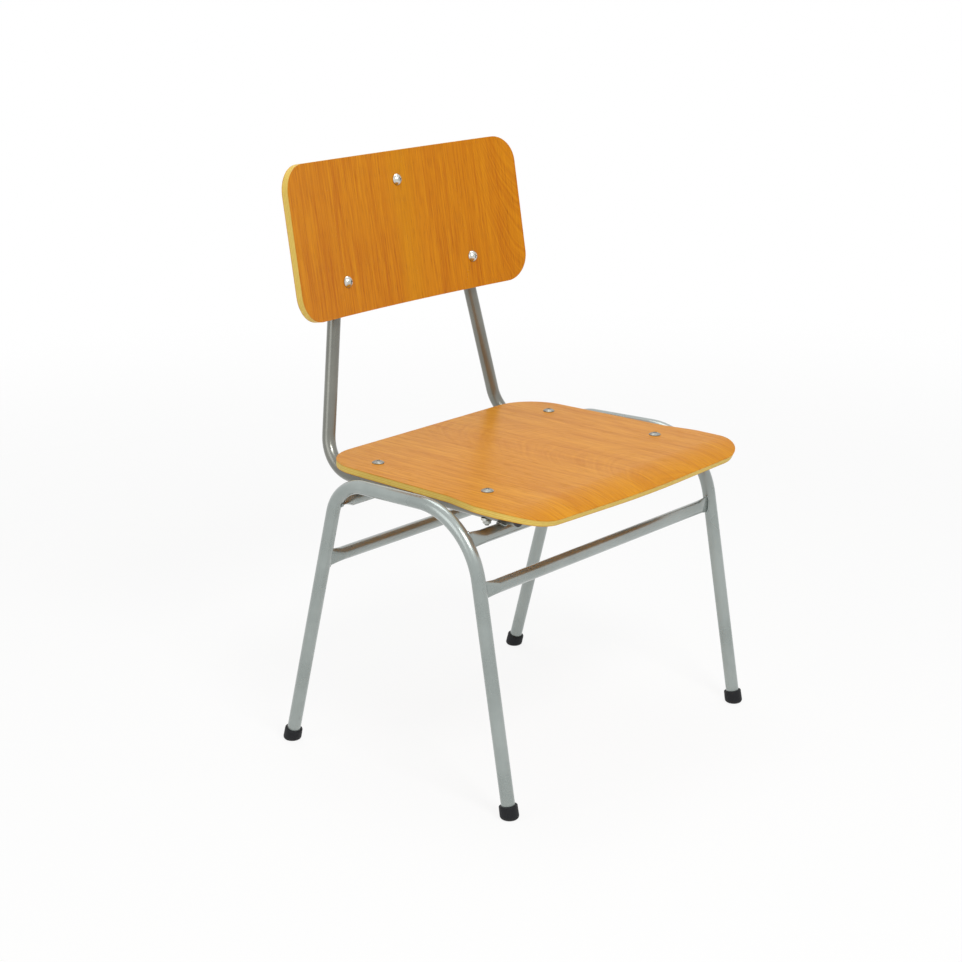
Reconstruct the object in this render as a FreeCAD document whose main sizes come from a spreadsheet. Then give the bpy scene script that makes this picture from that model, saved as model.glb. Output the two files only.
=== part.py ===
import FreeCAD, Part
import math
import os
import re

import Sketcher

from FreeCAD import Placement, Rotation, Vector

# A school chair: two bent-tube side frames, four crossbars, and a bent-tube hoop whose lower ends
# run forward under the seat as rails. The seat and the backrest are boards, screwed to the hoop.
# Millimetres and degrees. +Z is up, the sitter faces -Y, so the sitter's right hand is at -X.
# The origin lies on the floor, under the middle of the chair.

SIZES = {
    # Tube, and the air left where one piece is fitted to another
    "tube_diameter": 19,
    "tube_wall": 1.2,
    "contact_gap": 0.1,
    # Side frames: the spread is between their planes, and the toe narrows them towards the rear
    "frame_spread": 519.4,
    "frame_toe": 1.75,
    "front_foot_reach": 217.2,
    "rear_foot_reach": 198.8,
    "front_leg_lean": 9.4,
    "rear_leg_lean": 15.1,
    "top_run_height": 405,
    "front_bend_radius": 105,
    "rear_bend_radius": 60,
    # Crossbars: the lower two join the legs, the upper two hang below the top runs, on the bends
    "front_crossbar_height": 303,
    "rear_crossbar_height": 288,
    "front_seat_bar_drop": 39,
    "rear_seat_bar_drop": 32.5,
    "pressed_flare": 5,
    "pressed_thickness": 5,
    "pressed_length": 12,
    "pressed_taper": 20,
    # Rails and hoop: one tube
    "rail_spread": 380,
    "rail_front_reach": 169.2,
    "rail_corner_gap": 20,
    "rail_bend_radius": 55,
    "hoop_bend_radius": 160,
    "hoop_taper": 11.3,
    "hoop_corner_radius": 50,
    # Boards: a core with a thin face sheet on both sides
    "face_sheet": 0.8,
    "seat_core_thickness": 7.8,
    "back_core_thickness": 10.4,
    # Seat: reaches and widths of its outline, which steps out in front of the side frames' bends
    "seat_rear_reach": 155.8,
    "seat_front_reach": 247.2,
    "seat_front_bow": 8,
    "seat_rear_width": 462,
    "seat_waist_width": 482,
    "seat_waist_reach": 93.2,
    "seat_front_width": 504,
    "seat_step_length": 52,
    "seat_rear_corner": 68,
    "seat_step_radius": 70,
    "seat_front_corner": 62,
    "seat_bow_radius": 2400,
    "seat_curl_length": 58,
    "seat_curl_radius": 123,
    "seat_spacer_height": 9.4,
    # Backrest: its front face at mid-height and mid-width, and its hollow across
    "back_reach": 196.3,
    "back_height": 712,
    "back_lean": 9,
    "back_board_width": 482,
    "back_board_height": 217,
    "back_corner": 40,
    "back_hollow_radius": 1300,
    # Screws, with their washers, nuts and spacers
    "rear_screw_room": 0.6,
    "front_screw_room": 8.5,
    "back_screw_spread": 270,
    "back_screw_drop": 62,
    "back_screw_rise": 67,
    "screw_diameter": 6,
    "screw_clearance": 0.6,
    "thread_clearance": 0.2,
    "screw_tip": 2.5,
    "head_diameter": 17,
    "head_rim": 1,
    "head_dome": 2.8,
    "back_head_dome": 5.5,
    "recess_span": 6.4,
    "recess_slot": 1.6,
    "recess_depth": 1.8,
    "washer_diameter": 16,
    "washer_thickness": 1.6,
    "washer_saddle": 2,
    "nut_wall": 1.9,
    "nut_height": 5,
    "spacer_diameter": 18,
    "spacer_saddle": 4,
    # Foot caps and rail plugs
    "cap_sole": 4,
    "cap_height": 19,
    "cap_wall": 3.5,
    "cap_mouth_wall": 3,
    "cap_sole_round": 5,
    "cap_mouth_round": 1.4,
    "plug_head": 2.5,
    "plug_length": 12,
    "plug_clearance": 0.3,
}

ALIASES = re.compile(r"\b(" + "|".join(SIZES) + r")\b")
AXIS_X = Vector(1, 0, 0)
AXIS_Y = Vector(0, 1, 0)
AXIS_Z = Vector(0, 0, 1)

doc = FreeCAD.newDocument("school_chair")
sheet = doc.addObject("Spreadsheet::Sheet", "Sizes")
for row, (alias, number) in enumerate(SIZES.items(), start=1):
    sheet.set(f"A{row}", alias)
    sheet.set(f"B{row}", str(number))
    sheet.setAlias(f"B{row}", alias)
doc.recompute()


# Reading the sheet and binding to it

def formula(text):
    """A formula over the size names, as the document writes it."""
    return ALIASES.sub(r"Sizes.\1", text)


def size(text):
    """The number that a formula over the size names gives."""
    return float(sheet.evalExpression(formula(text)))


def bind(item, **formulas):
    """Bind an object's properties to formulas over the size names."""
    for name, text in formulas.items():
        item.setExpression(name, formula(text))
    return item


# Solids and their combinations

def cylinder(name, radius, height, placement=Placement()):
    item = doc.addObject("Part::Cylinder", name)
    item.Placement = placement
    return bind(item, Radius=radius, Height=height)


def cut(name, base, tool):
    item = doc.addObject("Part::Cut", name)
    item.Base = base
    item.Tool = tool
    return item


def common(name, base, tool):
    item = doc.addObject("Part::Common", name)
    item.Base = base
    item.Tool = tool
    return item


def fuse(name, *shapes):
    item = doc.addObject("Part::MultiFuse", name)
    item.Shapes = list(shapes)
    item.Refine = True
    return item


def mirror(name, source):
    """The same piece on the other side of the chair."""
    item = doc.addObject("Part::Mirroring", name)
    item.Source = source
    item.Normal = AXIS_X
    return item


def group(name, piece, placements):
    """Copies of one piece, as separate solids under one name."""
    item = doc.addObject("Part::Compound", name)
    copies = []
    for placement in placements:
        copy = doc.addObject("App::Link", name + "_copy")
        copy.LinkedObject = piece
        copy.Placement = placement
        copies.append(copy)
    item.Links = copies
    return item


def prism(name, outline, above, below):
    """A closed outline drawn out along its normal, both ways."""
    item = doc.addObject("Part::Extrusion", name)
    item.Base = outline
    item.DirMode = "Normal"
    item.Solid = True
    return bind(item, LengthFwd=above, LengthRev=below)


# Outlines and paths: straight runs joined by tangent arcs

def rounding(before, corner, after, radius):
    """Where a round corner starts and ends, and its centre."""
    inward = (corner - before).normalize()
    outward = (after - corner).normalize()
    tangent = radius * math.tan(inward.getAngle(outward) / 2)
    start = corner - inward * tangent
    end = corner + outward * tangent
    middle = ((start + end) * 0.5 - corner).normalize()
    centre = corner + middle * math.hypot(radius, tangent)
    return start, end, centre


def rounded_sketch(name, corners, closed=True):
    """A constrained sketch whose corners are (across, up, radius) formulas; an end has no radius."""
    sketch = doc.addObject("Sketcher::SketchObject", name)
    points = [Vector(size(across), size(up), 0) for across, up, _ in corners]
    count = len(points)
    starts = list(points)
    ends = list(points)
    arcs = {}

    def named(label, text, *constraint):
        index = sketch.addConstraint(Sketcher.Constraint(*constraint, size(text)))
        sketch.renameConstraint(index, label)
        sketch.setExpression("Constraints." + label, formula(text))

    for n, (across, up, radius) in enumerate(corners):
        if radius is None:
            continue
        starts[n], ends[n], centre = rounding(points[n - 1], points[n], points[(n + 1) % count], size(radius))
        spokes = [starts[n] - centre, ends[n] - centre]
        clockwise = spokes[0].cross(spokes[1]).z < 0
        if clockwise:
            spokes.reverse()
        angles = [math.atan2(spoke.y, spoke.x) for spoke in spokes]
        circle = Part.Circle(centre, AXIS_Z, size(radius))
        arc = sketch.addGeometry(Part.ArcOfCircle(circle, *angles))
        arcs[n] = (arc, 2 if clockwise else 1, 1 if clockwise else 2)

    marks = []
    for n, (across, up, radius) in enumerate(corners):
        mark = sketch.addGeometry(Part.Point(points[n]), True)
        marks.append(mark)
        named(f"across_{n}", across, "DistanceX", -1, 1, mark, 1)
        named(f"up_{n}", up, "DistanceY", -1, 1, mark, 1)

    for n in range(count if closed else count - 1):
        following = (n + 1) % count
        line = sketch.addGeometry(Part.LineSegment(ends[n], starts[following]))
        for corner, line_end in ((n, 1), (following, 2)):
            if corner in arcs:
                arc, arc_start, arc_end = arcs[corner]
                arc_point = arc_end if line_end == 1 else arc_start
                sketch.addConstraint(Sketcher.Constraint("Tangent", line, line_end, arc, arc_point))
                sketch.addConstraint(Sketcher.Constraint("PointOnObject", marks[corner], 1, line))
            else:
                sketch.addConstraint(Sketcher.Constraint("Coincident", line, line_end, marks[corner], 1))

    for n, (arc, _, _) in arcs.items():
        named(f"radius_{n}", corners[n][2], "Radius", arc)
    doc.recompute()
    return sketch


def rounded_path(name, points, radii):
    """A wire in space through the points, with a tangent arc at each inner one."""
    edges = []
    run_start = points[0]
    for n in range(1, len(points) - 1):
        start, end, centre = rounding(points[n - 1], points[n], points[n + 1], radii[n - 1])
        crown = centre + (points[n] - centre).normalize() * radii[n - 1]
        edges.append(Part.LineSegment(run_start, start).toShape())
        edges.append(Part.Arc(start, crown, end).toShape())
        run_start = end
    edges.append(Part.LineSegment(run_start, points[-1]).toShape())
    item = doc.addObject("Part::Feature", name)
    item.Shape = Part.Wire(edges)
    return item


def sweep(name, path, start, direction, radius):
    """A round rod along a path."""
    section = doc.addObject("Part::Circle", name + "_section")
    section.Placement = Placement(start, Rotation(AXIS_Z, direction))
    bind(section, Radius=radius)
    rod = doc.addObject("Part::Sweep", name)
    rod.Sections = [section]
    rod.Spine = (path, [f"Edge{n}" for n in range(1, len(path.Shape.Edges) + 1)])
    rod.Solid = True
    rod.Frenet = False
    return rod


# Side frames

BEND_CORNERS = {
    "front": "(front_foot_reach - top_run_height * tan(front_leg_lean))",
    "rear": "(rear_foot_reach - top_run_height * tan(rear_leg_lean))",
}
TUBE_ENDS = {
    "front": "(front_foot_reach - cap_sole * tan(front_leg_lean))",
    "rear": "(rear_foot_reach - cap_sole * tan(rear_leg_lean))",
}
SIDES = {"front": -1, "rear": 1}

frame_plane = Placement(
    Vector(-size("frame_spread / 2"), 0, 0),
    Rotation(AXIS_Z, -size("frame_toe")) * Rotation(Vector(1, 1, 1), 120),
)
frame_path = rounded_sketch(
    "frame_path",
    [
        (TUBE_ENDS["rear"], "cap_sole", None),
        (BEND_CORNERS["rear"], "top_run_height", "rear_bend_radius"),
        ("-" + BEND_CORNERS["front"], "top_run_height", "front_bend_radius"),
        ("-" + TUBE_ENDS["front"], "cap_sole", None),
    ],
    closed=False,
)
frame_path.Placement = frame_plane


def leg_direction(end):
    """The way a right-hand leg runs, up from its foot."""
    lean = math.radians(size(f"{end}_leg_lean"))
    return frame_plane.Rotation.multVec(Vector(-SIDES[end] * math.sin(lean), math.cos(lean), 0))


def tube_end(end):
    """The middle of a right-hand leg's lower end."""
    return frame_plane.multVec(Vector(SIDES[end] * size(TUBE_ENDS[end]), size("cap_sole"), 0))


frame_start = (tube_end("rear"), leg_direction("rear"))
frame_outside = sweep("frame_outside", frame_path, *frame_start, "tube_diameter / 2")
frame_bore = sweep("frame_bore", frame_path, *frame_start, "tube_diameter / 2 - tube_wall")
side_frame_right = cut("side_frame_right", frame_outside, frame_bore)
side_frame_left = mirror("side_frame_left", side_frame_right)

# The room that the two frames take, which the crossbars' ends are coped to
frame_room_right = sweep("frame_room_right", frame_path, *frame_start, "tube_diameter / 2 + contact_gap")
frame_room_left = mirror("frame_room_left", frame_room_right)
frame_room = doc.addObject("Part::Compound", "frame_room")
frame_room.Links = [frame_room_right, frame_room_left]


# Crossbars

def bend_reach(end):
    """How far out a bend stands at its seat bar's height."""
    turn = f"{end}_bend_radius * tan((90 - {end}_leg_lean) / 2)"
    bulge = f"sqrt(2 * {end}_bend_radius * {end}_seat_bar_drop - {end}_seat_bar_drop ^ 2)"
    return f"({BEND_CORNERS[end]} - {turn} + {bulge})"


def leg_reach(end):
    """How far out a leg stands at its crossbar's height."""
    return f"({end}_foot_reach - {end}_crossbar_height * tan({end}_leg_lean))"


def crossbar(name, reach, height, press_turn):
    """A bar between the side frames. Its ends are pressed flat: upright, or turned about the bar."""
    across = Rotation(AXIS_X, press_turn) * Rotation(AXIS_Y, 90)
    half_span = f"(frame_spread / 2 - {reach} * sin(frame_toe))"
    half_round = f"({half_span} - pressed_length - pressed_taper)"
    stations = {
        "round": half_round,
        "pressed": f"({half_round} + pressed_taper)",
        "end": half_span,
    }

    def locate(item, along):
        item.Placement.Rotation = across
        item.setExpression(".Placement.Base.x", formula(along))
        item.setExpression(".Placement.Base.y", formula(f"{reach} * cos(frame_toe)"))
        item.setExpression(".Placement.Base.z", formula(height))
        return item

    middle = locate(cylinder(name + "_middle", "tube_diameter / 2", "2 * " + half_round), "-" + half_round)
    bore = locate(
        cylinder(name + "_bore", "tube_diameter / 2 - tube_wall", "2 * " + half_round), "-" + half_round
    )
    solids = [middle]
    for side, sign in (("left", ""), ("right", "-")):
        sections = []
        for station, along in stations.items():
            if station == "round":
                section = doc.addObject("Part::Circle", f"{name}_{side}_{station}")
                bind(section, Radius="tube_diameter / 2")
            else:
                section = doc.addObject("Part::Ellipse", f"{name}_{side}_{station}")
                tall_radius = "(tube_diameter + pressed_flare) / 2"
                bind(section, MajorRadius=tall_radius, MinorRadius="pressed_thickness / 2")
            sections.append(locate(section, sign + along))
        pressed = doc.addObject("Part::Loft", f"{name}_{side}_pressed_end")
        pressed.Sections = sections
        pressed.Solid = True
        pressed.Ruled = True
        solids.append(pressed)
    tube = cut(name + "_tube", fuse(name + "_solid", *solids), bore)
    return cut(name, tube, frame_room)


UPRIGHT = 0
LYING = 90
SEAT_BARS = {
    "front": ("-" + bend_reach("front"), "(top_run_height - front_seat_bar_drop)"),
    "rear": (bend_reach("rear"), "(top_run_height - rear_seat_bar_drop)"),
}
front_crossbar = crossbar("front_crossbar", "-" + leg_reach("front"), "front_crossbar_height", UPRIGHT)
rear_crossbar = crossbar("rear_crossbar", leg_reach("rear"), "rear_crossbar_height", UPRIGHT)
front_seat_bar = crossbar("front_seat_bar", *SEAT_BARS["front"], UPRIGHT)
rear_seat_bar = crossbar("rear_seat_bar", *SEAT_BARS["rear"], LYING)


# The two boards' own frames. The seat's lies on its underside, parallel to the rails on the seat
# bars. The backrest's lies on its front face, with Y through the board and Z up the board.

def seat_bar_middle(end):
    """The middle of a seat bar's axis."""
    reach, height = SEAT_BARS[end]
    return Vector(0, size(f"{reach} * cos(frame_toe)"), size(height))


front_bar = seat_bar_middle("front")
rear_bar = seat_bar_middle("rear")
seat_rise = rear_bar - front_bar
seat_turn = Rotation(AXIS_X, math.degrees(math.atan2(seat_rise.z, seat_rise.y)))
bar_line_height = front_bar.z - front_bar.y * seat_rise.z / seat_rise.y
SEAT_STACK = "tube_diameter * 3 / 2 + contact_gap + seat_spacer_height"
seat_frame = Placement(
    Vector(0, 0, bar_line_height) + seat_turn.multVec(AXIS_Z * size(SEAT_STACK)), seat_turn
)
back_frame = Placement(
    Vector(0, size("back_reach"), size("back_height")), Rotation(AXIS_X, -size("back_lean"))
)
SEAT_THICKNESS = "(seat_core_thickness + 2 * face_sheet)"
BACK_THICKNESS = "(back_core_thickness + 2 * face_sheet)"


# Where the screws stand: the seat of each head, with Z out of the board. The seat's screws go
# through the rails between the seat bars, with room for their washers beside each bar.

BAR_TO_SCREW = "tube_diameter / 2 + washer_diameter / 2"
to_seat = seat_frame.inverse()
seat_screw_lines = [
    to_seat.multVec(front_bar).y + size(BAR_TO_SCREW + " + front_screw_room"),
    to_seat.multVec(rear_bar).y - size(BAR_TO_SCREW + " + rear_screw_room"),
]
seat_screw_seats = []
for side in (-1, 1):
    for line in seat_screw_lines:
        head_seat = Vector(side * size("rail_spread / 2"), line, size(SEAT_THICKNESS))
        seat_screw_seats.append(Placement(head_seat, Rotation()))

hollow = size("back_hollow_radius")
spread_turn = math.degrees(math.asin(size("back_screw_spread / 2") / hollow))
hollow_axis = Vector(0, -hollow, 0)


def back_screw_seat(turn, height):
    """A head's seat on the hollow face, turned about the axis of the hollow."""
    swing = Rotation(AXIS_Z, turn)
    out_from_axis = swing.multVec(Vector(0, hollow - size("contact_gap"), 0))
    return Placement(hollow_axis + out_from_axis + Vector(0, 0, height), swing * Rotation(AXIS_X, 90))


back_screw_seats = [
    back_screw_seat(0, size("back_screw_rise")),
    back_screw_seat(spread_turn, -size("back_screw_drop")),
    back_screw_seat(-spread_turn, -size("back_screw_drop")),
]


def in_chair(frame, seats):
    """A board's own places as places in the chair."""
    return [frame * seat for seat in seats]


# Back hoop and rails: behind the backrest the tube lies against the board at its three screws

BACK_TO_AXIS = f"{BACK_THICKNESS} + 2 * contact_gap + tube_diameter / 2"
top_point, right_point, left_point = [
    seat.multVec(Vector(0, 0, -size(BACK_TO_AXIS))) for seat in in_chair(back_frame, back_screw_seats)
]


def hoop_half(screw_point, side):
    """One side of the hoop, from the front of its rail up to the corner of the arch."""
    rise = Vector(0, top_point.y - screw_point.y, top_point.z - screw_point.z)
    climb = rise - AXIS_X * (side * rise.Length * math.tan(math.radians(size("hoop_taper"))))
    rail_side = side * size("rail_spread / 2")
    rail_level = -size("tube_diameter / 2 + seat_spacer_height")
    return [
        seat_frame.multVec(Vector(rail_side, -size("rail_front_reach"), rail_level)),
        seat_frame.multVec(Vector(rail_side, size("seat_rear_reach + rail_corner_gap"), rail_level)),
        screw_point,
        screw_point + climb,
    ]


right_half = hoop_half(right_point, -1)
left_half = hoop_half(left_point, 1)
half_radii = [size("rail_bend_radius"), size("hoop_bend_radius"), size("hoop_corner_radius")]
hoop_path = rounded_path("hoop_path", right_half + left_half[::-1], half_radii + half_radii[::-1])
hoop_start = (right_half[0], right_half[1] - right_half[0])
hoop_outside = sweep("hoop_outside", hoop_path, *hoop_start, "tube_diameter / 2")
hoop_bore = sweep("hoop_bore", hoop_path, *hoop_start, "tube_diameter / 2 - tube_wall")
hoop_room = sweep("hoop_room", hoop_path, *hoop_start, "tube_diameter / 2 + contact_gap")
hoop_tube = cut("hoop_tube", hoop_outside, hoop_bore)


# Screw holes, drilled from each head's seat through the board and the tube behind it

SEAT_GRIP = f"({SEAT_THICKNESS} + seat_spacer_height + tube_diameter)"
BACK_GRIP = f"({BACK_THICKNESS} + 2 * contact_gap + tube_diameter)"
HOLE_RADIUS = "(screw_diameter + screw_clearance) / 2"
seat_drill = cylinder("seat_drill", HOLE_RADIUS, "2 * " + SEAT_GRIP)
back_drill = cylinder("back_drill", HOLE_RADIUS, "2 * " + BACK_GRIP)


def drilled_from(seats, grip):
    """Drill places, centred on the head's seat and reaching past the tube."""
    return [seat * Placement(Vector(0, 0, -1.5 * size(grip)), Rotation()) for seat in seats]


seat_board_holes = group("seat_board_holes", seat_drill, drilled_from(seat_screw_seats, SEAT_GRIP))
back_board_holes = group("back_board_holes", back_drill, drilled_from(back_screw_seats, BACK_GRIP))
rail_holes = group("rail_holes", seat_drill, in_chair(seat_frame, drilled_from(seat_screw_seats, SEAT_GRIP)))
arch_holes = group("arch_holes", back_drill, in_chair(back_frame, drilled_from(back_screw_seats, BACK_GRIP)))
hoop_holes = doc.addObject("Part::Compound", "hoop_holes")
hoop_holes.Links = [rail_holes, arch_holes]
back_hoop = cut("back_hoop", hoop_tube, hoop_holes)


# Seat board: flat, with a front edge that curls down, trimmed to its outline

BOARD_LAYERS = ("backing", "core", "face")
seat_outline = rounded_sketch(
    "seat_outline",
    [
        ("seat_rear_width / 2", "seat_rear_reach", "seat_rear_corner"),
        ("-seat_rear_width / 2", "seat_rear_reach", "seat_rear_corner"),
        ("-seat_waist_width / 2", "-seat_waist_reach", "seat_step_radius"),
        ("-seat_front_width / 2", "-(seat_waist_reach + seat_step_length)", "seat_step_radius"),
        ("-seat_front_width / 2", "-(seat_front_reach - seat_front_bow)", "seat_front_corner"),
        ("0", "-seat_front_reach", "seat_bow_radius"),
        ("seat_front_width / 2", "-(seat_front_reach - seat_front_bow)", "seat_front_corner"),
        ("seat_front_width / 2", "-(seat_waist_reach + seat_step_length)", "seat_step_radius"),
        ("seat_waist_width / 2", "-seat_waist_reach", "seat_step_radius"),
    ],
)
CURL_LINE = "(seat_front_reach - seat_curl_length)"

# The front edge is cut square to the curled sheet. So the trim is upright behind a line across the straight
# part of the sides, and in front of it leans with the end of the curl, through the edge's top corner.
CORNER_LINE = "(seat_front_reach - seat_front_bow - seat_front_corner)"
SPLIT_LINE = f"((seat_waist_reach + seat_step_length + 2 * {CORNER_LINE}) / 3)"
curl_angle = math.asin(size(f"seat_curl_length / (seat_curl_radius + {SEAT_THICKNESS})"))
edge_height = size(f"seat_curl_radius + {SEAT_THICKNESS}") * math.cos(curl_angle) - size("seat_curl_radius")
rear_trim = prism("rear_trim", seat_outline, SEAT_THICKNESS, "seat_curl_radius")
front_trim = prism("front_trim", seat_outline, "2 * " + SEAT_THICKNESS, "seat_curl_radius")
front_trim.DirMode = "Custom"
front_trim.Dir = Vector(0, -math.sin(curl_angle), math.cos(curl_angle))
front_trim.Placement.Base = AXIS_Y * (edge_height * math.tan(curl_angle))


def trim_room(name, start, depth):
    """A box round the seat, from a line across it towards the rear."""
    room = doc.addObject("Part::Box", name)
    bind(room, Length="2 * seat_front_width", Width=depth, Height="4 * seat_curl_radius")
    room.setExpression(".Placement.Base.x", formula("-seat_front_width"))
    room.setExpression(".Placement.Base.y", formula(start))
    room.setExpression(".Placement.Base.z", formula("-2 * seat_curl_radius"))
    return room


rear_room = trim_room("rear_room", "-" + SPLIT_LINE, "2 * seat_front_reach")
front_room = trim_room("front_room", f"-{SPLIT_LINE} - seat_front_reach", "seat_front_reach")
seat_trim = fuse(
    "seat_trim",
    common("rear_trimming", rear_trim, rear_room),
    common("front_trimming", front_trim, front_room),
)


def seat_layer(name, low, high):
    """One sheet of the seat, between two heights over the seat's underside."""
    flat = doc.addObject("Part::Box", name + "_flat")
    bind(flat, Length="seat_front_width", Width=f"seat_rear_reach + {CURL_LINE}", Height=f"{high} - {low}")
    flat.setExpression(".Placement.Base.x", formula("-seat_front_width / 2"))
    flat.setExpression(".Placement.Base.y", formula("-" + CURL_LINE))
    flat.setExpression(".Placement.Base.z", formula(low))
    rings = []
    for part, radius in (("outer", high), ("inner", low)):
        ring = cylinder(f"{name}_curl_{part}", f"seat_curl_radius + {radius}", "seat_front_width")
        ring.Angle = 90
        ring.Placement.Rotation = Rotation(AXIS_X, 180) * Rotation(AXIS_Y, 90)
        ring.setExpression(".Placement.Base.x", formula("-seat_front_width / 2"))
        ring.setExpression(".Placement.Base.y", formula("-" + CURL_LINE))
        ring.setExpression(".Placement.Base.z", formula("-seat_curl_radius"))
        rings.append(ring)
    sheet_solid = fuse(name + "_sheet", flat, cut(name + "_curl", *rings))
    trimmed = common(name + "_trimmed", sheet_solid, seat_trim)
    layer = cut(name, trimmed, seat_board_holes)
    layer.Placement = seat_frame
    return layer


seat_heights = ["0", "face_sheet", "(face_sheet + seat_core_thickness)", SEAT_THICKNESS]
seat_layers = [
    seat_layer("seat_" + part, seat_heights[n], seat_heights[n + 1]) for n, part in enumerate(BOARD_LAYERS)
]


# Backrest board: bent about an upright axis in front of it, trimmed to a round-cornered outline

back_outline = rounded_sketch(
    "back_outline",
    [
        (f"{across}back_board_width / 2", f"{up}back_board_height / 2", "back_corner")
        for across, up in (("", ""), ("-", ""), ("-", "-"), ("", "-"))
    ],
)
back_outline.Placement = Placement(Vector(), Rotation(AXIS_X, 90))
HOLLOW_DEPTH = "(back_hollow_radius - sqrt(back_hollow_radius ^ 2 - back_board_width ^ 2 / 4))"
back_trim = prism("back_trim", back_outline, "2 * " + HOLLOW_DEPTH, "2 * " + BACK_THICKNESS)


def back_layer(name, near, far):
    """One sheet of the backrest, between two depths behind its front face."""
    rings = []
    for part, depth in (("outer", far), ("inner", near)):
        ring = cylinder(f"{name}_{part}", f"back_hollow_radius + {depth}", "back_board_height")
        ring.setExpression(".Placement.Base.y", formula("-back_hollow_radius"))
        ring.setExpression(".Placement.Base.z", formula("-back_board_height / 2"))
        rings.append(ring)
    trimmed = common(name + "_trimmed", cut(name + "_sheet", *rings), back_trim)
    layer = cut(name, trimmed, back_board_holes)
    layer.Placement = back_frame
    return layer


back_depths = ["0", "face_sheet", "(face_sheet + back_core_thickness)", BACK_THICKNESS]
back_layers = [
    back_layer("backrest_" + part, back_depths[n], back_depths[n + 1])
    for n, part in enumerate(reversed(BOARD_LAYERS))
]


# Screws: a domed head with a cross recess, on a plain shank. Z is out of the head.

def screw(name, grip, dome):
    length = f"({grip} + washer_thickness + nut_height + screw_tip)"
    shank = cylinder(name + "_shank", "screw_diameter / 2", length)
    shank.setExpression(".Placement.Base.z", formula("-" + length))
    rim = cylinder(name + "_rim", "head_diameter / 2", f"head_rim + {dome}")
    ball = doc.addObject("Part::Sphere", name + "_ball")
    ball_radius = f"(head_diameter ^ 2 / 4 + {dome} ^ 2) / (2 * {dome})"
    bind(ball, Radius=ball_radius)
    ball.setExpression(".Placement.Base.z", formula(f"head_rim + {dome} - {ball_radius}"))
    whole = fuse(name + "_whole", shank, common(name + "_head", rim, ball))
    slots = []
    for slot, (span, width) in enumerate((("recess_span", "recess_slot"), ("recess_slot", "recess_span"))):
        box = doc.addObject("Part::Box", f"{name}_slot_{slot}")
        bind(box, Length=span, Width=width, Height="2 * recess_depth")
        box.setExpression(".Placement.Base.x", formula(f"-{span} / 2"))
        box.setExpression(".Placement.Base.y", formula(f"-{width} / 2"))
        box.setExpression(".Placement.Base.z", formula(f"head_rim + {dome} - recess_depth"))
        slots.append(box)
    return cut(name, whole, fuse(name + "_recess", *slots))


def ring_piece(name, radius, bore, height):
    """A flat ring, standing on the face that it presses on, with Z away from it."""
    return cut(name, cylinder(name + "_disc", radius, height), cylinder(name + "_hole", bore, height))


seat_screw = screw("seat_screw", SEAT_GRIP, "head_dome")
back_screw = screw("back_screw", BACK_GRIP, "back_head_dome")
seat_screws = group("seat_screws", seat_screw, in_chair(seat_frame, seat_screw_seats))
back_screws = group("back_screws", back_screw, in_chair(back_frame, back_screw_seats))


def behind(frame, seats, depth):
    """Places at a depth under the heads' seats, with Z pointing on the same way as the shank."""
    step = Placement(Vector(0, 0, -size(depth)), Rotation(AXIS_X, 180))
    return [seat * step for seat in in_chair(frame, seats)]


# Washers and spacers have a saddle that fits the round of the tube
washer = ring_piece("washer", "washer_diameter / 2", HOLE_RADIUS, "washer_saddle + washer_thickness")
spacer = ring_piece("spacer", "spacer_diameter / 2", HOLE_RADIUS, "seat_spacer_height + spacer_saddle")


def saddled(name, piece, places):
    """Copies of a ring, shaped to the hoop's tube."""
    return cut(name, group(name + "_blanks", piece, places), hoop_room)


seat_washer_places = behind(seat_frame, seat_screw_seats, SEAT_GRIP + " - washer_saddle")
back_washer_places = behind(back_frame, back_screw_seats, BACK_GRIP + " - washer_saddle")
seat_washers = saddled("seat_washers", washer, seat_washer_places)
back_washers = saddled("back_washers", washer, back_washer_places)
seat_spacers = saddled("seat_spacers", spacer, behind(seat_frame, seat_screw_seats, SEAT_THICKNESS))

nut_blank = doc.addObject("Part::Prism", "nut_blank")
nut_blank.Polygon = 6
THREAD_RADIUS = "(screw_diameter + thread_clearance) / 2"
bind(nut_blank, Circumradius=f"({THREAD_RADIUS} + nut_wall) / cos(30)", Height="nut_height")
nut = cut("nut", nut_blank, cylinder("nut_thread", THREAD_RADIUS, "nut_height"))
seat_nuts = group("seat_nuts", nut, behind(seat_frame, seat_screw_seats, SEAT_GRIP + " + washer_thickness"))
back_nuts = group("back_nuts", nut, behind(back_frame, back_screw_seats, BACK_GRIP + " + washer_thickness"))


# Foot caps: a rubber sleeve with a flat sole, its bore stopped by the leg's end

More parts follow.
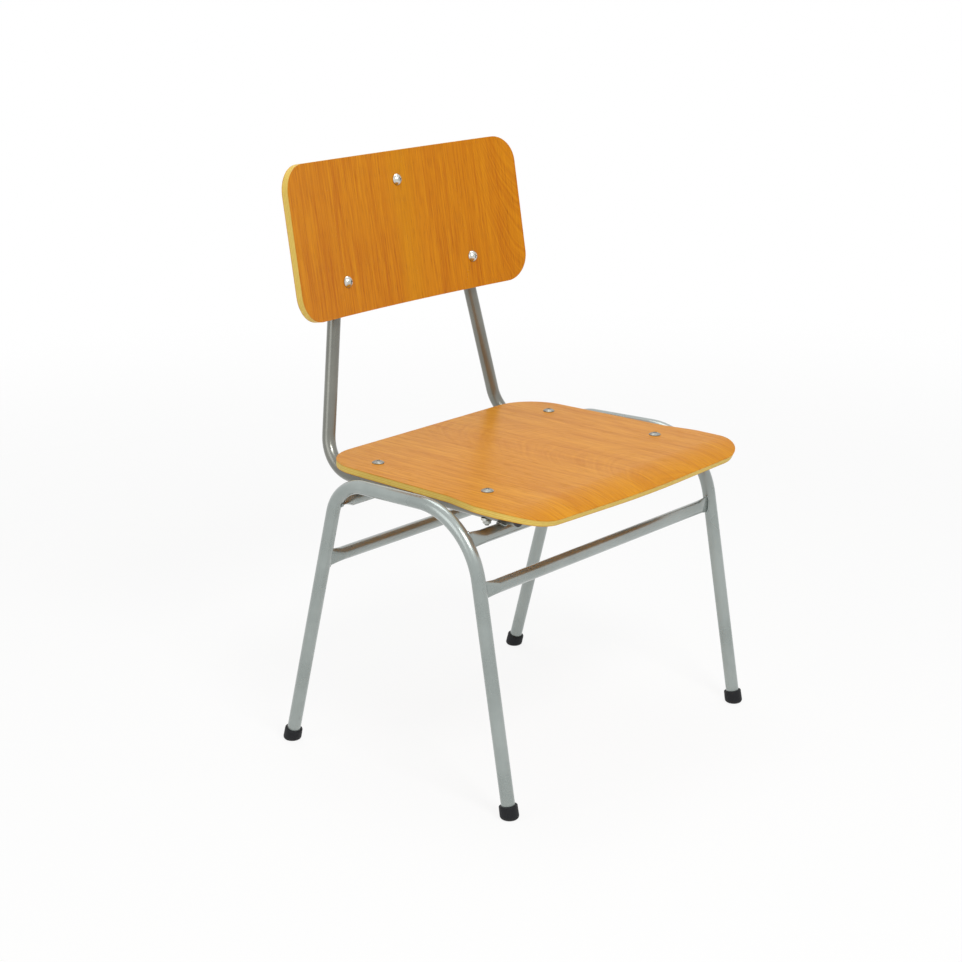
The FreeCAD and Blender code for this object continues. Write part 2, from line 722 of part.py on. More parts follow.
def foot_cap(name, end):
    direction = leg_direction(end)
    turn = Rotation(AXIS_Z, direction)
    bore_radius = "tube_diameter / 2 + contact_gap"
    foot_radius = f"({bore_radius} + cap_wall)"
    below = f"2 * {foot_radius} * tan({end}_leg_lean)"
    floor_point = tube_end(end) - direction * (size("cap_sole") / direction.z)
    outside = doc.addObject("Part::Cone", name + "_outside")
    outside.Placement = Placement(floor_point - direction * size(below), turn)
    bind(outside, Radius1=foot_radius, Radius2=f"{bore_radius} + cap_mouth_wall")
    bind(outside, Height=f"cap_height + {below}")
    floor = doc.addObject("Part::Box", name + "_floor")
    bind(floor, Length=f"8 * {foot_radius}", Width=f"8 * {foot_radius}", Height=f"4 * {foot_radius}")
    floor.Placement = Placement(floor_point - Vector(4, 4, 4) * size(foot_radius), Rotation())
    stood = cut(name + "_stood", outside, floor)
    doc.recompute()
    rims = []
    for number, edge in enumerate(stood.Shape.Edges, start=1):
        if len(edge.Vertexes) == 1:
            on_floor = edge.BoundBox.ZMax < size("cap_sole") / 2
            radius = size("cap_sole_round") if on_floor else size("cap_mouth_round")
            rims.append((number, radius, radius))
    rounded = doc.addObject("Part::Fillet", name + "_rounded")
    rounded.Base = stood
    rounded.Edges = rims
    bore = cylinder(name + "_bore", bore_radius, "cap_height", Placement(tube_end(end), turn))
    return cut(name, rounded, bore)


front_right_cap = foot_cap("front_right_cap", "front")
rear_right_cap = foot_cap("rear_right_cap", "rear")
front_left_cap = mirror("front_left_cap", front_right_cap)
rear_left_cap = mirror("rear_left_cap", rear_right_cap)


# Plugs in the rails' open front ends

PLUG_RADIUS = "tube_diameter / 2 - tube_wall - plug_clearance"
plug_shank = cylinder("plug_shank", PLUG_RADIUS, "plug_length + plug_head")
plug = fuse("rail_plug", plug_shank, cylinder("plug_disc", "tube_diameter / 2", "plug_head"))
plug_places = []
for half in (left_half, right_half):
    along_rail = (half[1] - half[0]).normalize()
    plug_places.append(Placement(half[0] - along_rail * size("plug_head"), Rotation(AXIS_Z, along_rail)))
rail_plugs = group("rail_plugs", plug, plug_places)


# Check every object, then write each piece under its label

NODES = [
    side_frame_right, side_frame_left, back_hoop,
    front_crossbar, rear_crossbar, front_seat_bar, rear_seat_bar,
    *seat_layers, *back_layers,
    front_right_cap, front_left_cap, rear_right_cap, rear_left_cap,
    seat_screws, seat_washers, seat_nuts, seat_spacers, back_screws, back_washers, back_nuts, rail_plugs,
]
doc.recompute()
for item in doc.Objects:
    if "Invalid" in item.State or "Error" in item.State:
        raise RuntimeError(f"{item.Label} failed: {item.State}")
for node in NODES:
    if node.Shape.isNull() or not node.Shape.isValid() or not node.Shape.Solids:
        raise RuntimeError(f"{node.Label} has no valid solid")

os.makedirs("parts", exist_ok=True)
for node in NODES:
    node.Shape.exportStep(f"parts/{node.Label}.step")
    box = node.Shape.BoundBox
    print(
        f"{node.Label}: {len(node.Shape.Solids)} solid(s), {node.Shape.Volume / 1000:.1f} cm3,"
        f" x {box.XMin:.1f}..{box.XMax:.1f} y {box.YMin:.1f}..{box.YMax:.1f} z {box.ZMin:.1f}..{box.ZMax:.1f}"
    )
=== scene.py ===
# %% [markdown]
# This lesson dresses a school chair: painted steel tube, two wood-faced boards, zinc screws and
# rubber feet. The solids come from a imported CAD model, in metres, and stay where they are. They
# could be drawn again here, but then the two models would drift apart. So the scene only adds what
# a solid lacks: finishes, softened edges, weld beads, light and a camera.

import math

import bmesh
import bpy
from mathutils import Matrix, Vector, noise


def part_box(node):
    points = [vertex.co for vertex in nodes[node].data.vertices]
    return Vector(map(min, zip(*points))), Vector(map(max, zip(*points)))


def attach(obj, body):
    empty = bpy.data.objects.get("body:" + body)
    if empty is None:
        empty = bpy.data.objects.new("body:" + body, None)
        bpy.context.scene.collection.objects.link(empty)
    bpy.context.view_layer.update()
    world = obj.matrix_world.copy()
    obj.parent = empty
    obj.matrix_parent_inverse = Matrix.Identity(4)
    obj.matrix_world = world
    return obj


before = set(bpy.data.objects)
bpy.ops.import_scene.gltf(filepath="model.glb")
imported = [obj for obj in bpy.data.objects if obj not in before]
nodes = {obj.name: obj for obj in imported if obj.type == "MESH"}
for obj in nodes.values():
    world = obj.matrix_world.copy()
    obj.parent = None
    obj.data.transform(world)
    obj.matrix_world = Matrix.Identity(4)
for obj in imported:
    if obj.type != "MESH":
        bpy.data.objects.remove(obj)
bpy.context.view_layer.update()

# %% [markdown]
# A camera comes first, because every later choice is judged through it. The chair was pictured
# from the front, from the sitter's right, a little above the seat. A camera could be made to track
# the chair, but three turns one after another say more: roll about the line of sight, tilt down
# from the horizon, then the swing round the chair. A long lens keeps the two side frames nearly
# parallel.

# %% Camera at the photographed angle
FRAME_PIXELS, FOCAL_PIXELS = 962, 2118
SENSOR = 36
EYE = Vector((-2.2531, -1.8388, 1.1872))
SWING, TILT, ROLL = -49.99, 15.78, -0.36


def turn(axis, degrees):
    return Matrix.Rotation(math.radians(degrees), 4, axis)


lens = bpy.data.cameras.new("camera")
lens.sensor_width = SENSOR
lens.lens = SENSOR * FOCAL_PIXELS / FRAME_PIXELS
camera = bpy.data.objects.new("camera", lens)
aim = turn("Z", SWING) @ turn("X", 90 - TILT) @ turn("Z", ROLL)
camera.matrix_world = Matrix.Translation(EYE) @ aim
bpy.context.scene.collection.objects.link(camera)
bpy.context.scene.camera = camera
print(f"lens {lens.lens:.1f} mm")

# %% [markdown]
# Paint, wood and rubber will all be node graphs. Nodes can be added and linked one by one, but a
# page of links hides the idea, and a sum shows it. So a Wire holds one output socket, and each
# operator adds the Math node that does the same to it. With the reflected forms, `1 - mask` works
# too.

# %% A socket that does sums
class Wire:
    """One output socket that takes part in arithmetic."""

    def __init__(self, finish, socket):
        self.finish = finish
        self.socket = socket

    def maths(self, operation, *values):
        sockets = dict(enumerate(values))
        return self.finish.node("ShaderNodeMath", {"operation": operation}, sockets)

    def __add__(self, other):
        return self.maths("ADD", self, other)

    def __sub__(self, other):
        return self.maths("SUBTRACT", self, other)

    def __rsub__(self, other):
        return self.maths("SUBTRACT", other, self)

    def __mul__(self, other):
        return self.maths("MULTIPLY", self, other)

    def __truediv__(self, other):
        return self.maths("DIVIDE", self, other)

    def __rtruediv__(self, other):
        return self.maths("DIVIDE", other, self)

    def __mod__(self, other):
        return self.maths("FLOORED_MODULO", self, other)

    def __rmod__(self, other):
        return self.maths("FLOORED_MODULO", other, self)

    def __abs__(self):
        return self.maths("ABSOLUTE", self)

    def __neg__(self):
        return self * -1

    __radd__ = __add__
    __rmul__ = __mul__

    def least(self, other):
        return self.maths("MINIMUM", self, other)

    def most(self, other):
        return self.maths("MAXIMUM", self, other)

    def root(self):
        return self.maths("SQRT", self)

    def ramp(self, low, high):
        """0 at low, 1 at high, smooth between and flat outside."""
        settings = {"interpolation_type": "SMOOTHSTEP"}
        sockets = {"Value": self, "From Min": low, "From Max": high}
        return self.finish.node("ShaderNodeMapRange", settings, sockets)


print("wires can add, subtract, multiply, divide and wrap round")

# %% [markdown]
# A Finish is one material. Each kind of node could have code of its own, but one method can make
# them all: settings first, because they change which sockets exist, and then the sockets' values
# or links. The other methods are the small graphs that several finishes share. A Mix node has
# sockets for every kind of value, so those for colour are picked by number.

# %% A finish
MIX_SHARE, MIX_FIRST, MIX_SECOND, MIX_COLOUR = 0, 6, 7, 2


class Finish:
    """One material, built from nodes."""

    def __init__(self, name, library=bpy.data.materials):
        self.material = library.new(name)
        self.material.use_nodes = True
        self.tree = self.material.node_tree
        self.tree.nodes.clear()

    def node(self, kind, settings=None, sockets=None, out=0):
        made = self.tree.nodes.new(kind)
        for key, setting in (settings or {}).items():
            setattr(made, key, setting)
        for key, value in (sockets or {}).items():
            if isinstance(value, Wire):
                self.tree.links.new(value.socket, made.inputs[key])
            else:
                made.inputs[key].default_value = value
        return Wire(self, made.outputs[out]) if made.outputs else None

    def mix(self, share, first, second):
        """A colour between two others."""
        sockets = {MIX_SHARE: share, MIX_FIRST: first, MIX_SECOND: second}
        return self.node("ShaderNodeMix", {"data_type": "RGBA"}, sockets, out=MIX_COLOUR)

    def place(self, origin=(0, 0, 0), tilt=0):
        """The three coordinates in a frame that is tilted about X, in metres."""
        here = self.node("ShaderNodeTexCoord", out="Object")
        settings = {"vector_type": "TEXTURE"}
        sockets = {"Vector": here, "Location": origin, "Rotation": (math.radians(tilt), 0, 0)}
        local = self.node("ShaderNodeMapping", settings, sockets)
        return [self.node("ShaderNodeSeparateXYZ", None, {0: local}, out=n) for n in range(3)]

    def grain(self, across, along, through, detail=3.0, roughness=0.55):
        """Noise from three coordinates, which may be stretched."""
        where = self.node("ShaderNodeCombineXYZ", None, {0: across, 1: along, 2: through})
        sockets = {"Vector": where, "Scale": 1.0, "Detail": detail, "Roughness": roughness}
        return self.node("ShaderNodeTexNoise", None, sockets)

    def speckle(self, spot, per_metre, **kind):
        """Noise that is alike in all directions, with so many grains to a metre."""
        return self.grain(*[part * per_metre for part in spot], **kind)

    def bump(self, height, depth):
        """A relief of the surface, its depth in metres."""
        sockets = {"Height": height, "Distance": depth, "Strength": 1.0}
        return self.node("ShaderNodeBump", None, sockets)

    def surface(self, **sockets):
        """The shader itself, with underscores for the spaces in its sockets' names."""
        named = {key.replace("_", " "): value for key, value in sockets.items()}
        shader = self.node("ShaderNodeBsdfPrincipled", None, named)
        self.node("ShaderNodeOutputMaterial", None, {"Surface": shader})
        return self.material


print("finishes can mix, find their place, make noise and relief, and shade")

# %% [markdown]
# Colours are judged on a screen, so the finishes below give them as web colours. Shaders
# count light instead, and in light a middle grey is only about a fifth of white. Each colour could
# be converted by hand, but a helper keeps the codes as given.

# %% Colours as the eye reads them
def colour(code):
    """A web colour as the linear values that shaders use."""
    parts = [int(code[n:n + 2], 16) / 255 for n in (1, 3, 5)]
    return [p / 12.92 if p <= 0.04045 else ((p + 0.055) / 1.055) ** 2.4 for p in parts] + [1]


print(f"middle grey is {colour('#808080')[0]:.2f} of white")

# %% [markdown]
# The real tubes are sprayed with silver-grey enamel. Up close such paint is never flat: it has a
# fine orange-peel skin, faint cloudy flow, and dull rubbed patches low on the legs where shoes
# touch. A bare metal would mirror the room too sharply, and a plain grey would look like plastic.
# A half-metallic base under a thin clear coat lies between them, and gives the bright streak along
# each tube. The hoop behind the back gets a copy of the paint that is a little darker and warmer:
# painted shade, and a painted warm reflection of the wood.

# %% Silver enamel
def silver_enamel(name, dark, light):
    paint = Finish(name)
    x, y, z = spot = paint.place()
    cloud = paint.speckle(spot, per_metre=14)
    peel = paint.speckle(spot, per_metre=520, detail=1.0)
    specks = paint.grain(x * 260, y * 260, z * 90, detail=4.0, roughness=0.7)
    rubbed = specks.ramp(0.58, 0.7) * (1 - z.ramp(0.02, 0.12)) * 0.3
    base = paint.mix(cloud.ramp(0.3, 0.7), colour(dark), colour(light))
    worn = paint.mix(rubbed, base, colour("#74777A"))
    return paint.surface(
        Base_Color=worn,
        Metallic=0.6,
        Roughness=0.25 + cloud * 0.06 + rubbed * 0.25,
        Coat_Weight=0.55,
        Coat_Roughness=0.06,
        Normal=paint.bump(peel, 0.00006),
    )


enamel = silver_enamel("silver_enamel", "#939B98", "#A0A8A5")
# painted shade and reflection: the hoop's copy is darker than the frame's paint, and warmer like
# the wood it reflects
shaded_hoop_enamel = silver_enamel("shaded_hoop_enamel", "#70716A", "#7C7D75")
print(enamel.name, shaded_hoop_enamel.name)

# %% [markdown]
# Both boards are faced with orange-stained oak veneer. A wave texture could draw its lines, but a
# wave repeats and wood doesn't. Noise that is stretched along the grain gives broad bands, streaks
# and pores, and each factor is roughly the number of lines to a metre. Where the knife crossed the
# year rings at a low angle, they show as nested arches. The contour lines of a parabola give those,
# and they close up into straight lines away from its middle, as they do on a real sheet.

# %% The grain of a veneer sheet
def veneer(wood, across, along, through, heart, bend, reach, strength):
    """The tone of a veneer sheet, 0 dark to 1 light, and its open pores."""
    band = wood.grain(across * 32, along * 1.4, through * 3, detail=2.0)
    streak = wood.grain(across * 340, along * 9, through * 20, detail=4.0, roughness=0.65)
    fibre = wood.grain(across * 850, along * 24, through * 60, detail=2.0)
    pores = wood.grain(across * 950, along * 42, through * 90, detail=2.0).ramp(0.55, 0.7)
    sway = wood.grain(across * 13, along * 9, through, detail=2.0) * 0.03
    aside = across - heart
    flow = along - aside * aside * bend + sway
    rings = wood.grain(flow * 150, across * 7, through * 5, detail=3.0)
    figured = (1 - abs(aside).ramp(reach * 0.3, reach)) * strength
    tone = band * 0.22 + (streak + (rings - streak) * figured) * 0.55 + fibre * 0.23
    return tone.ramp(0.34, 0.66), pores * (1 - tone.ramp(0.4, 0.7) * 0.6)


print("veneer has bands, streaks, fibres, pores and arches")

# %% [markdown]
# Satin lacquer lies over the veneer. A clear coat would make it glassy, so the lacquer is a low
# gloss, duller in the pores, where it sinks in by less than a tenth of a millimetre. One sheet for
# both boards would do, but no two sheets come from the same place in a tree: the back has its
# arches at one side and a golden streak near the middle, and the seat has only faint ones.

# %% Lacquered veneer for the back and the seat
SEAT_ORIGIN, SEAT_TILT = (0, -0.00103, 0.40786), 1.554
BACK_ORIGIN, BACK_TILT = (0, 0.1963, 0.712), -9.0


def lacquered(wood, tint, pore, tone, pores, gloss):
    """Satin lacquer that sinks a little into the pores."""
    return wood.surface(
        Base_Color=wood.mix(pores * 0.45, tint, colour(pore)),
        Roughness=0.33 + pores * 0.16 - tone * 0.05,
        Specular_IOR_Level=gloss,
        Normal=wood.bump(tone * 0.25 - pores, 0.00008),
    )


def back_veneer():
    wood = Finish("backrest_veneer")
    x, y, z = wood.place(BACK_ORIGIN, BACK_TILT)
    tone, pores = veneer(wood, x, z, y, heart=0.262, bend=17, reach=0.17, strength=0.6)
    golden = (1 - abs(x - 0.01).ramp(0.0, 0.04)) * 0.35
    tint = wood.mix(golden, wood.mix(tone, colour("#C06C0A"), colour("#DC9012")), colour("#DA980E"))
    return lacquered(wood, tint, "#964C06", tone, pores, gloss=0.13)


def seat_veneer():
    wood = Finish("seat_veneer")
    x, y, z = wood.place(SEAT_ORIGIN, SEAT_TILT)
    tone, pores = veneer(wood, x + 2.1, -y, z, heart=2.15, bend=9, reach=0.14, strength=0.35)
    tint = wood.mix(tone, colour("#C47810"), colour("#DF991C"))
    return lacquered(wood, tint, "#A5600C", tone, pores, gloss=0.08)


backrest_face, seat_face = back_veneer(), seat_veneer()
print(backrest_face.name, seat_face.name)

# %% [markdown]
# The boards' edges show the pale plies between the faces, each turned across the next, with a thin
# dark line of glue between two. Every ply could be a sheet of its own, but at little more than a
# millimetre they are only stripes to the eye. So the depth into the board, counted in plies, tells
# which stripe a point is in.

# %% Stripes of ply and glue
PLY = 0.00134


def ply_edge(x, y, depth):
    edge = x.finish
    count = depth / PLY
    glue = abs(count % 1 - 0.5).ramp(0.36, 0.46)
    turned = (count * 0.5 % 1).ramp(0.47, 0.53)
    fibre = edge.grain(x * 180, y * 180, depth * 1500, detail=4.0, roughness=0.65)
    pale = edge.mix(turned, colour("#F6D874"), colour("#E9C45A"))
    stained = edge.mix(fibre.ramp(0.35, 0.75) * 0.34, pale, colour("#CDA844"))
    return edge.surface(
        Base_Color=edge.mix(glue * 0.4, stained, colour("#B08C3C")),
        Roughness=0.5 + fibre * 0.15,
        Specular_IOR_Level=0.3,
        Normal=edge.bump(fibre - glue, 0.0001),
    )


print(f"plies of {PLY * 1000:.2f} mm")

# %% [markdown]
# The real plies bend with their board. Straight stripes would run out of its edge, so the depth
# bends too. On the flat seat it is the height above the underside, on its curled front the distance
# from the curl's axis, and on the backrest the distance from the axis of its hollow. One root of
# two squares serves the flat and the curl alike, because on the flat the first square is nothing.

# %% Ply edges of the seat and the back
CURL_START, CURL_RADIUS = 0.1892, 0.123
HOLLOW_RADIUS = 1.3


def seat_edge():
    edge = Finish("seat_plies")
    x, y, z = edge.place(SEAT_ORIGIN, SEAT_TILT)
    past = (y + CURL_START).least(0)
    over = z + CURL_RADIUS
    return ply_edge(x, y, (past * past + over * over).root() - CURL_RADIUS)


def back_edge():
    edge = Finish("backrest_plies")
    x, y, z = edge.place(BACK_ORIGIN, BACK_TILT)
    over = y + HOLLOW_RADIUS
    return ply_edge(x, z, (x * x + over * over).root() - HOLLOW_RADIUS)


seat_plies, back_plies = seat_edge(), back_edge()
print(seat_plies.name, back_plies.name)

# %% [markdown]
# Each leg stands in a moulded foot of black rubber, a little dusty at the sole. Pure black would be
# a hole in the picture, so the rubber is a very dark grey with a fine skin. The dust could be a
# piece of its own, but it has no thickness, so it only lightens the lowest millimetres.

# %% Rubber feet
def foot_rubber():
    rubber = Finish("foot_rubber")
    spot = rubber.place()
    height = spot[2]
    skin = rubber.speckle(spot, per_metre=900, detail=2.0)
    dust = rubber.speckle(spot, per_metre=160, detail=4.0)
    dusty = (1 - height.ramp(0.0005, 0.007)) * dust.ramp(0.35, 0.7) * 0.5
    return rubber.surface(
        Base_Color=rubber.mix(dusty, colour("#1A1B1E"), colour("#4A4845")),
        Roughness=0.5 + skin * 0.2 + dusty * 0.2,
        Specular_IOR_Level=0.25,
        Normal=rubber.bump(skin, 0.00012),
    )


rubber = foot_rubber()
print(rubber.name)

# %% [markdown]
# The screws, nuts and washers are zinc-plated, with a cloudy bloom and fine turning marks. The
# recess of a screw head and the rim where it meets the next part get painted shade, a darker
# colour. It could be painted there by its place, but that is a place for each of seven heads.
# Ambient occlusion
# finds them all: a point that sees little open sky is dark. The heads in the seat are rubbed by
# use, so they get a duller plate than the rest.

# %% Zinc plate
RECESS = 0.0016


def zinc_plate(name, bright, dull, roughness):
    zinc = Finish(name)
    spot = zinc.place()
    bloom = zinc.speckle(spot, per_metre=240)
    marks = zinc.speckle(spot, per_metre=1600, detail=1.0)
    sockets = {"Distance": RECESS}
    open_sky = zinc.node("ShaderNodeAmbientOcclusion", {"samples": 8}, sockets, out="AO")
    # painted shade: the colour darkens in recesses and at contacts, where the metal sees little
    # open sky
    painted_recess_shade = 1 - open_sky.ramp(0.35, 0.85)
    plated = zinc.mix(bloom.ramp(0.35, 0.65), colour(bright), colour(dull))
    return zinc.surface(
        Base_Color=zinc.mix(painted_recess_shade * 0.85, plated, colour("#2B2925")),
        Metallic=1.0,
        Roughness=roughness + bloom * 0.14,
        Normal=zinc.bump(marks, 0.00002),
    )


zinc = zinc_plate("bright_zinc", "#D6D7D3", "#BDBDB4", 0.18)
dull_zinc = zinc_plate("dull_zinc", "#A2A49F", "#8B8D87", 0.42)
print(zinc.name, dull_zinc.name)

# %% [markdown]
# The plugs in the rails' ends and the spacers under the seat are black mouldings. They are seen
# only from below, and one flat black might do. But the chair is looked at from every side, so they
# get the fine skin that a mould leaves.

# %% Black moulding
def black_moulding():
    plastic = Finish("black_moulding")
    skin = plastic.speckle(plastic.place(), per_metre=1400, detail=2.0)
    return plastic.surface(
        Base_Color=plastic.mix(skin.ramp(0.3, 0.7), colour("#1A1A1C"), colour("#26262A")),
        Roughness=0.42 + skin * 0.14,
        Normal=plastic.bump(skin, 0.00006),
    )


plastic = black_moulding()
print(plastic.name)

# %% [markdown]
# Each solid now gets its finish. That could be a line of code for each, but a table reads like a
# paint list: a finish, and the pieces that wear it. The two sheets of a board share one veneer, and
# the core between them shows its plies.

# %% Finishes on the solids
FINISHES = {
    enamel: ["side_frame_right", "side_frame_left", "front_crossbar", "rear_crossbar",
             "front_seat_bar", "rear_seat_bar"],
    shaded_hoop_enamel: ["back_hoop"],
    seat_face: ["seat_face", "seat_backing"],
    backrest_face: ["backrest_face", "backrest_backing"],
    seat_plies: ["seat_core"],
    back_plies: ["backrest_core"],
    rubber: ["front_right_cap", "front_left_cap", "rear_right_cap", "rear_left_cap"],
    zinc: ["seat_washers", "seat_nuts", "back_screws", "back_washers", "back_nuts"],
    dull_zinc: ["seat_screws"],
    plastic: ["seat_spacers", "rail_plugs"],
}
for finish, names in FINISHES.items():
    for name in names:
        materials = nodes[name].data.materials
        materials.clear()
        materials.append(finish)
print(f"{sum(map(len, FINISHES.values()))} solids finished")

# %% [markdown]
# The real frame is welded before it is sprayed, and each joint has a bead of weld round it, a
# little lumpy, under the paint. A bump in the paint could hint at it, but would be lost at the
# outline. So a bead is a mesh: a thin tube that closes on itself, with noise in its thickness. Its
# rings are carried along without a twist, and each is joined to the next at the nearest corners,
# so that the last one fits the first.

# %% A bead of weld
BEAD, LUMPY, LUMPS_PER_METRE = 0.0015, 0.35, 330
ROUND = 8


def bead(name, spots):
    """A lumpy closed tube through the spots."""
    shape = bmesh.new()
    rings = []
    side = (spots[1] - spots[-1]).orthogonal()
    for n, spot in enumerate(spots):
        ahead = (spots[(n + 1) % len(spots)] - spots[n - 1]).normalized()
        side = (side - ahead * side.dot(ahead)).normalized()
        lump = BEAD * (1 + LUMPY * noise.noise(spot * LUMPS_PER_METRE))
        turns = [side @ Matrix.Rotation(math.tau * k / ROUND, 3, ahead) for k in range(ROUND)]
        rings.append([shape.verts.new(spot + turn_out * lump) for turn_out in turns])
    for n, ring in enumerate(rings):
        after = rings[(n + 1) % len(rings)]
        shift = min(range(ROUND), key=lambda k: (after[k].co - ring[0].co).length)
        for k in range(ROUND):
            there = (k + shift) % ROUND
            corners = ring[k], ring[(k + 1) % ROUND], after[(there + 1) % ROUND], after[there]
            shape.faces.new(corners).smooth = True
    bmesh.ops.recalc_face_normals(shape, faces=shape.faces)
    mesh = bpy.data.meshes.new(name)
    shape.to_mesh(mesh)
    shape.free()
    mesh.materials.append(enamel)
    piece = bpy.data.objects.new(name, mesh)
    bpy.context.scene.collection.objects.link(piece)
    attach(piece, "root")


print(f"beads {2 * BEAD * 1000:.0f} mm thick")

# %% [markdown]
# A bar's end is pressed flat and welded to the round tube of the side frame. The line where they
# meet could be cut from the two solids, but it is plain geometry: the outline of the pressed end,
# laid on the tube. There the tube's surface stands off the frame's plane by the leg of a
# right-angled triangle with the tube's radius as its long side. The table gives the tube that each
# bar meets: a leg by where its line meets the floor and its lean, a bend by its middle and radius,
# and whether the pressed end lies flat.

# %% Weld beads at the bars' ends
TUBE = 0.0095
SIDE, TOE = 0.2597, math.radians(1.75)
PRESSED_TALL, PRESSED_THIN = 0.0126, 0.0033
WIDEST = 0.97 * TUBE
LOOP = 44


def off_leg(s, z, foot_s, lean):
    """How far a point in the frame's plane is from a leaning leg's axis."""
    lean = math.radians(lean)
    return (s - foot_s + z * math.tan(lean)) * math.cos(lean)


def off_bend(s, z, middle_s, middle_z, radius):
    """The same for a bend's axis."""
    return math.hypot(s - middle_s, z - middle_z) - radius


BAR_ENDS = {
    "front_crossbar": (off_leg, (-0.2172, -9.4), False),
    "rear_crossbar": (off_leg, (0.1988, 15.1), False),
    "front_seat_bar": (off_bend, (-0.0611, 0.300, 0.105), False),
    "rear_seat_bar": (off_bend, (0.0436, 0.345, 0.060), True),
}


def bar_end_loop(bar, hand):
    """Points round a bar's pressed end, on the side frame at the sitter's right or left."""
    off_axis, axis, lying = BAR_ENDS[bar]
    low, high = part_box(bar)
    reach, height = (low[1] + high[1]) / 2 / math.cos(TOE), (low[2] + high[2]) / 2
    spots = []
    for n in range(LOOP):
        swing = math.tau * n / LOOP
        long_way, short_way = PRESSED_TALL * math.cos(swing), PRESSED_THIN * math.sin(swing)
        ds, dz = (long_way, short_way) if lying else (short_way, long_way)
        s = reach + ds
        aside = max(-WIDEST, min(WIDEST, off_axis(s, height + dz, *axis)))
        stand = math.sqrt(TUBE ** 2 - aside ** 2)
        x = -SIDE + s * math.sin(TOE) + stand * math.cos(TOE)
        y = s * math.cos(TOE) - stand * math.sin(TOE)
        spots.append(Vector((hand * x, y, height + dz)))
    return spots


for bar in BAR_ENDS:
    for side, hand in (("right", 1), ("left", -1)):
        bead(f"{bar}_{side}_weld", bar_end_loop(bar, hand))
print(f"{2 * len(BAR_ENDS)} bar ends welded")

# %% [markdown]
# The hoop's two rails lie across the seat bars, and each crossing is welded all round. Two round
# tubes that touch open up slowly from the point of touch. A bead close to that point would be
# buried in the tubes, so it settles where the gap between them has grown to most of its thickness.

# %% Weld beads where the rails cross the seat bars
RAIL_SIDE = 0.19
NIP = 0.0022


def crossing_loop(bar, hand):
    """Points round the place where a rail touches a seat bar."""
    low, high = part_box(bar)
    y, z = (low[1] + high[1]) / 2, (low[2] + high[2]) / 2
    reach = math.sqrt(2 * TUBE * NIP)
    spots = []
    for n in range(LOOP):
        swing = math.tau * n / LOOP
        dx, dy = reach * math.cos(swing), reach * math.sin(swing)
        top = z + math.sqrt(TUBE ** 2 - dy ** 2)
        spots.append(Vector((hand * RAIL_SIDE + dx, y + dy, top + NIP * math.cos(swing) ** 2 / 2)))
    return spots


for bar in ("front_seat_bar", "rear_seat_bar"):
    for side, hand in (("right", -1), ("left", 1)):
        bead(f"{bar}_{side}_rail_weld", crossing_loop(bar, hand))
print("4 crossings welded")

# %% [markdown]
# A saw and a sander leave no knife-edged wood, and a sharp edge catches no light. The solids could
# be rounded in the CAD model, but so small a round is a matter of looks. So the boards' sheets get
# a bevel of a third of a millimetre here. The mesh comes in with its faces unjoined at sharp edges,
# so a weld of their points goes first, and the shading is worked out again at the end.

# %% Softened board edges
JOINED, SANDED, SHARP = 1e-6, 0.00035, math.radians(50)
for name in ("seat_face", "seat_backing", "backrest_face", "backrest_backing"):
    join = nodes[name].modifiers.new("joined", "WELD")
    join.merge_threshold = JOINED
    sand = nodes[name].modifiers.new("sanded", "BEVEL")
    sand.width = SANDED
    sand.segments = 2
    sand.limit_method = "ANGLE"
    sand.angle_limit = SHARP
    shade = nodes[name].modifiers.new("shaded", "WEIGHTED_NORMAL")
    shade.weight = 100
print("board edges sanded")

# %% [markdown]
# The chair was pictured on a plain white ground. Strong lamps could turn a floor white, but they
# would bleach the chair too. So the floor is mostly its own white to the eye, and the rest of it
# is a matt white that the lamps light, which keeps a faint shadow under the chair. It fades out
# before it ends, so that no edge shows.

# %% Floor
FLOOR_SIZE, FLOOR_CELLS = 8, 8
FADE_START, FADE_END = 1.2, 3.2
OWN_WHITE = 0.88
WHITE = (1, 1, 1, 1)


def seen_white(finish):
    """1 on rays to the eye, straight or by way of a mirror or glass, and 0 on other light."""
    rays = ("Is Camera Ray", "Is Glossy Ray", "Is Transmission Ray")
    eye, mirror, through = [finish.node("ShaderNodeLightPath", out=ray) for ray in rays]
    return eye.most(mirror).most(through)


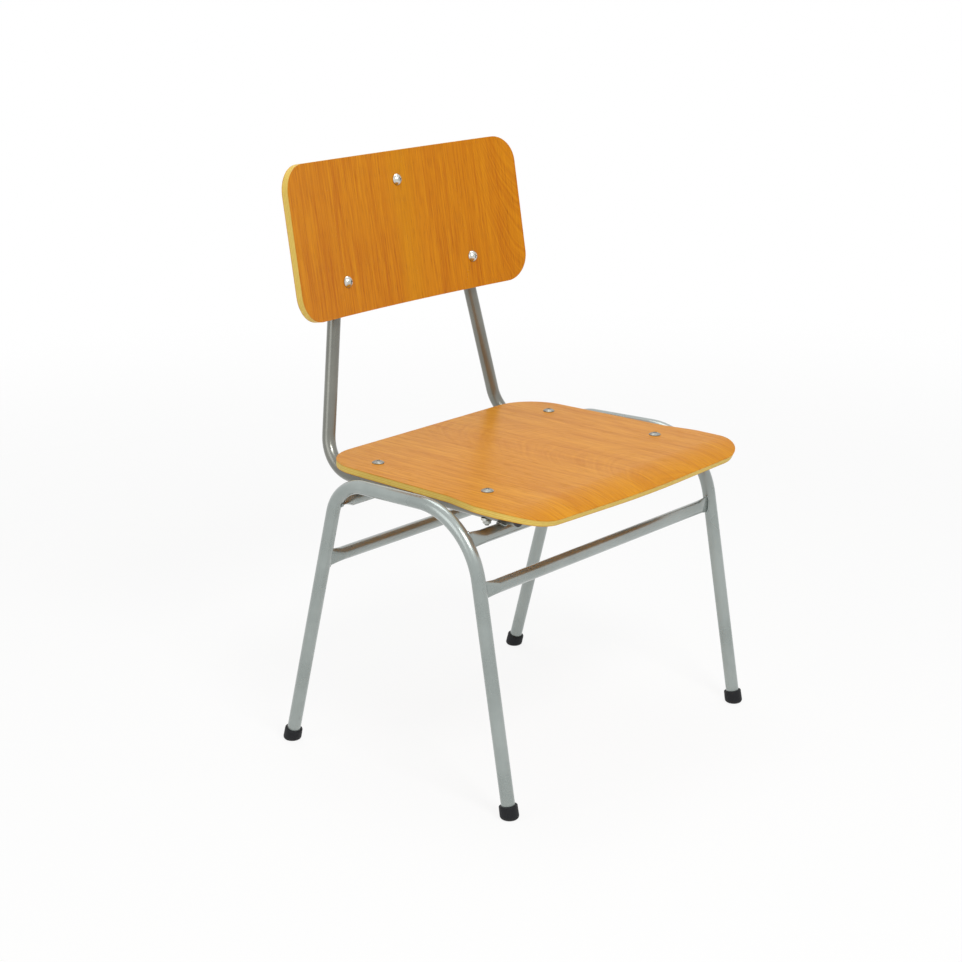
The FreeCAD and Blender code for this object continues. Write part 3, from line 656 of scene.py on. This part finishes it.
def floor_white():
    white = Finish("floor_white")
    x, y, _ = white.place()
    away = (x * x + y * y).root()
    share = seen_white(white) * OWN_WHITE
    matt = white.node("ShaderNodeBsdfDiffuse", None, {"Color": colour("#F4F4F2")})
    glow = white.node("ShaderNodeEmission", None, {"Color": WHITE, "Strength": 1.0})
    clear = white.node("ShaderNodeBsdfTransparent")
    lit = white.node("ShaderNodeMixShader", None, {0: share, 1: matt, 2: glow})
    fade = away.ramp(FADE_START, FADE_END)
    faded = white.node("ShaderNodeMixShader", None, {0: fade, 1: lit, 2: clear})
    white.node("ShaderNodeOutputMaterial", None, {"Surface": faded})
    return white.material


cells = {"x_subdivisions": FLOOR_CELLS, "y_subdivisions": FLOOR_CELLS}
bpy.ops.mesh.primitive_grid_add(size=FLOOR_SIZE, **cells)
floor = bpy.context.object
floor.name = "floor"
floor.data.materials.append(floor_white())
print(f"floor {FLOOR_SIZE} m wide")

# %% [markdown]
# The studio round the chair is white as well. A wall could stand there, but the world itself can
# be white. With one strength for all rays it would light the chair flat, so it is white to the eye
# and in reflections, and dimmer as a source of light.

# %% World
AMBIENT = 0.44


def studio_white():
    """White to the eye and in reflections, and dimmer as a light."""
    sky = Finish("studio_white", bpy.data.worlds)
    strength = AMBIENT + seen_white(sky) * (1 - AMBIENT)
    glow = sky.node("ShaderNodeBackground", None, {"Color": WHITE, "Strength": strength})
    sky.node("ShaderNodeOutputWorld", None, {"Surface": glow})
    return sky.material


bpy.context.scene.world = studio_white()
print(bpy.context.scene.world.name)

# %% [markdown]
# Soft lamps give the tubes their bright streaks and the boards an even tone. Small lamps would
# throw hard shadows, so these are squares of light that face the chair: a key in front, a weak fill
# at the sitter's right, and one above that parts the back from the ground.

# %% Lamps
CHAIR_MIDDLE = Vector((0, 0, 0.42))


def softbox(name, spot, side, watts):
    lamp = bpy.data.lights.new(name, "AREA")
    lamp.shape = "SQUARE"
    lamp.size = side
    lamp.energy = watts
    box = bpy.data.objects.new(name, lamp)
    box.location = spot
    box.rotation_euler = (CHAIR_MIDDLE - Vector(spot)).to_track_quat("-Z", "Y").to_euler()
    bpy.context.scene.collection.objects.link(box)


softbox("key", (-0.9, -1.9, 2.6), side=0.8, watts=44)
softbox("fill", (-2.6, 0.4, 1.5), side=1.6, watts=12)
softbox("top", (0.5, 0.5, 2.8), side=1.2, watts=14)
bpy.context.scene.view_settings.view_transform = "Standard"
print("studio lit")
